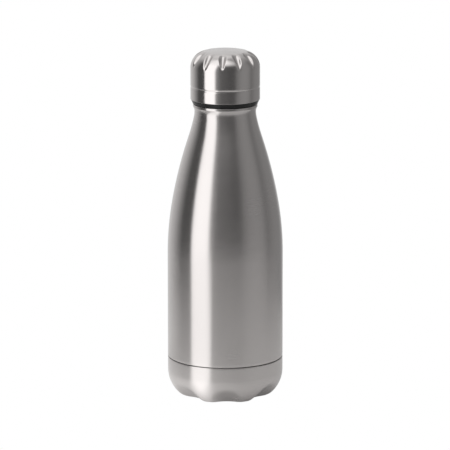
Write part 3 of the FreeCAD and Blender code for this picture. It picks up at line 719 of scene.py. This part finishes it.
def azimuth_ramp(tree, direction, levels, brightest, slant=0.0):
    """A grey level by azimuth round Z, as a share of the brightest, from a direction's X, Y and Z.

    The slant is how many degrees the levels lean to the right from the floor to straight up.
    """
    frontward = combined(tree, "MULTIPLY", direction["Y"], -1.0)
    azimuth = combined(tree, "ARCTAN2", direction["X"], frontward)
    lean = combined(tree, "MULTIPLY", direction["Z"], -math.radians(slant))
    share = faded(tree, combined(tree, "ADD", azimuth, lean), -math.pi, math.pi, kind="LINEAR")
    stops = [((degrees + 180.0) / 360.0, grey(level / brightest)) for degrees, level in levels]
    return colour_ramp(tree, share, stops)


def make_world():
    """A studio surround: light panels by azimuth under a bright ceiling."""
    world = bpy.data.worlds.new("studio")
    world.use_nodes = True
    bpy.context.scene.world = world
    tree = world.node_tree
    brightest = max(level for _, level in PANELS)
    split = tree.nodes.new("ShaderNodeSeparateXYZ")
    tree.links.new(tree.nodes.new("ShaderNodeTexCoord").outputs["Generated"], split.inputs["Vector"])
    panels = azimuth_ramp(tree, split.outputs, PANELS, brightest, PANEL_SLANT)
    overhead = azimuth_ramp(tree, split.outputs, CEILING, brightest)
    light = blended(tree, faded(tree, split.outputs["Z"], *CEILING_RANGE), panels, overhead)
    background = tree.nodes["Background"]
    tree.links.new(light, background.inputs["Color"])
    background.inputs["Strength"].default_value = brightest


def circle_points(radius, z, middle_y=0.0):
    """Evenly spaced points round a level circle; lengths in metres."""
    turn = np.linspace(0, 2 * math.pi, STAGE_SEGMENTS, endpoint=False)
    return [(radius * math.cos(a), middle_y + radius * math.sin(a), z) for a in turn]


def make_disc(name, radius, z, middle_y=0.0):
    """A level disc; lengths in metres."""
    disc = linked(name, circle_points(radius, z, middle_y), [tuple(range(STAGE_SEGMENTS))])
    return disc


def make_backdrop(radius, height):
    """A tall ring round the floor."""
    low = circle_points(radius, FLOOR_LEVEL)
    high = [(x, y, height) for x, y, _ in low]
    faces = []
    for k in range(STAGE_SEGMENTS):
        m = (k + 1) % STAGE_SEGMENTS
        faces.append((k, m, STAGE_SEGMENTS + m, STAGE_SEGMENTS + k))
    ring = linked("backdrop", low + high, faces)
    return ring


def make_stage():
    """A white surround that only the camera sees, and a glowing table that only the steel sees."""
    material = bpy.data.materials.new("white_sweep")
    material.use_nodes = True
    tree = material.node_tree
    glow = tree.nodes.new("ShaderNodeEmission")
    tree.links.new(glow.outputs["Emission"], tree.nodes["Material Output"].inputs["Surface"])
    sweep = make_disc("floor", SURROUND_RADIUS, FLOOR_LEVEL)
    for surround in (sweep, make_backdrop(SURROUND_RADIUS, SURROUND_HEIGHT)):
        surround.data.materials.append(material)
        surround.visible_glossy = False
        surround.visible_diffuse = False
        surround.visible_shadow = False
    table = make_disc("table", TABLE_RADIUS, TABLE_LEVEL, TABLE_MIDDLE)
    table.data.materials.append(table_material())
    table.visible_camera = False


def table_material():
    """White paper that glows with painted light: brighter close to the bottle and behind it, darker right
    under it as a painted contact shadow, with a painted pool of light at the light strip's foot.
    """
    material, shader = new_material("paper_with_painted_glow")
    tree = material.node_tree
    shader.inputs["Base Color"].default_value = tinted(PAPER_COLOUR)
    shader.inputs["Roughness"].default_value = PAPER_ROUGHNESS
    shader.inputs["Emission Color"].default_value = grey(1.0)
    position = tree.nodes.new("ShaderNodeTexCoord").outputs["Object"]
    distance = on_vector(tree, "LENGTH", position)["Value"]
    rightward = projected(tree, position, (1.0, 0.0, 0.0))
    plain = level_ramp(tree, distance, TABLE_GLOW)
    near = level_ramp(tree, rightward, NEAR_GLOW, low=NEAR_GLOW[0][0])
    near = combined(tree, "MULTIPLY", near, faded(tree, distance, *NEAR_REACH, 1.0, 0.0))
    behind = faded(tree, projected(tree, position, BEHIND_DIRECTION), *BEHIND_REACH, 0.0, BEHIND_GLOW)
    behind = combined(tree, "MULTIPLY", behind, faded(tree, rightward, *BEHIND_EDGE))
    strip = combined(tree, "MULTIPLY", painted_strip_foot(tree, position), STRIP_GLOW)
    # The table's glow is painted light, shaped for what the steel reflects; its dip near the axis is a
    # painted contact shadow
    glow = combined(tree, "ADD", combined(tree, "ADD", plain, near), combined(tree, "ADD", behind, strip))
    tree.links.new(glow, shader.inputs["Emission Strength"])
    return material


def painted_strip_foot(tree, position):
    """The mask of the painted pool of light: one between the strip's two edge lines on the table and nought
    outside them.
    """
    sides = []
    for ((x, y), azimuth), side in zip(STRIP_EDGES, (1.0, -1.0)):
        turn = math.radians(azimuth)
        inward = (side * math.cos(turn), side * math.sin(turn), 0.0)
        offset = x * inward[0] + y * inward[1]
        reach = projected(tree, position, inward)
        sides.append(faded(tree, reach, offset - STRIP_SOFTNESS, offset + STRIP_SOFTNESS))
    return combined(tree, "MULTIPLY", *sides)


def make_camera():
    """A long lens in front of the bottle, looking slightly down."""
    data = bpy.data.cameras.new("camera")
    data.sensor_width = SENSOR_WIDTH
    data.lens = LENS_LENGTH
    data.clip_end = CAMERA_REACH
    camera = bpy.data.objects.new("camera", data)
    bpy.context.scene.collection.objects.link(camera)
    target = Vector(CAMERA_TARGET)
    elevation = math.radians(CAMERA_ELEVATION)
    away = Vector((0.0, -math.cos(elevation), math.sin(elevation)))
    camera.location = target + away * CAMERA_DISTANCE
    camera.rotation_euler = (target - camera.location).to_track_quat("-Z", "Y").to_euler()
    bpy.context.scene.camera = camera


make_camera()
bpy.context.scene.view_settings.view_transform = "Standard"
make_world()
make_stage()
dress_cad_nodes()
make_outer_shell()
make_base_cup()
make_cap_shell()
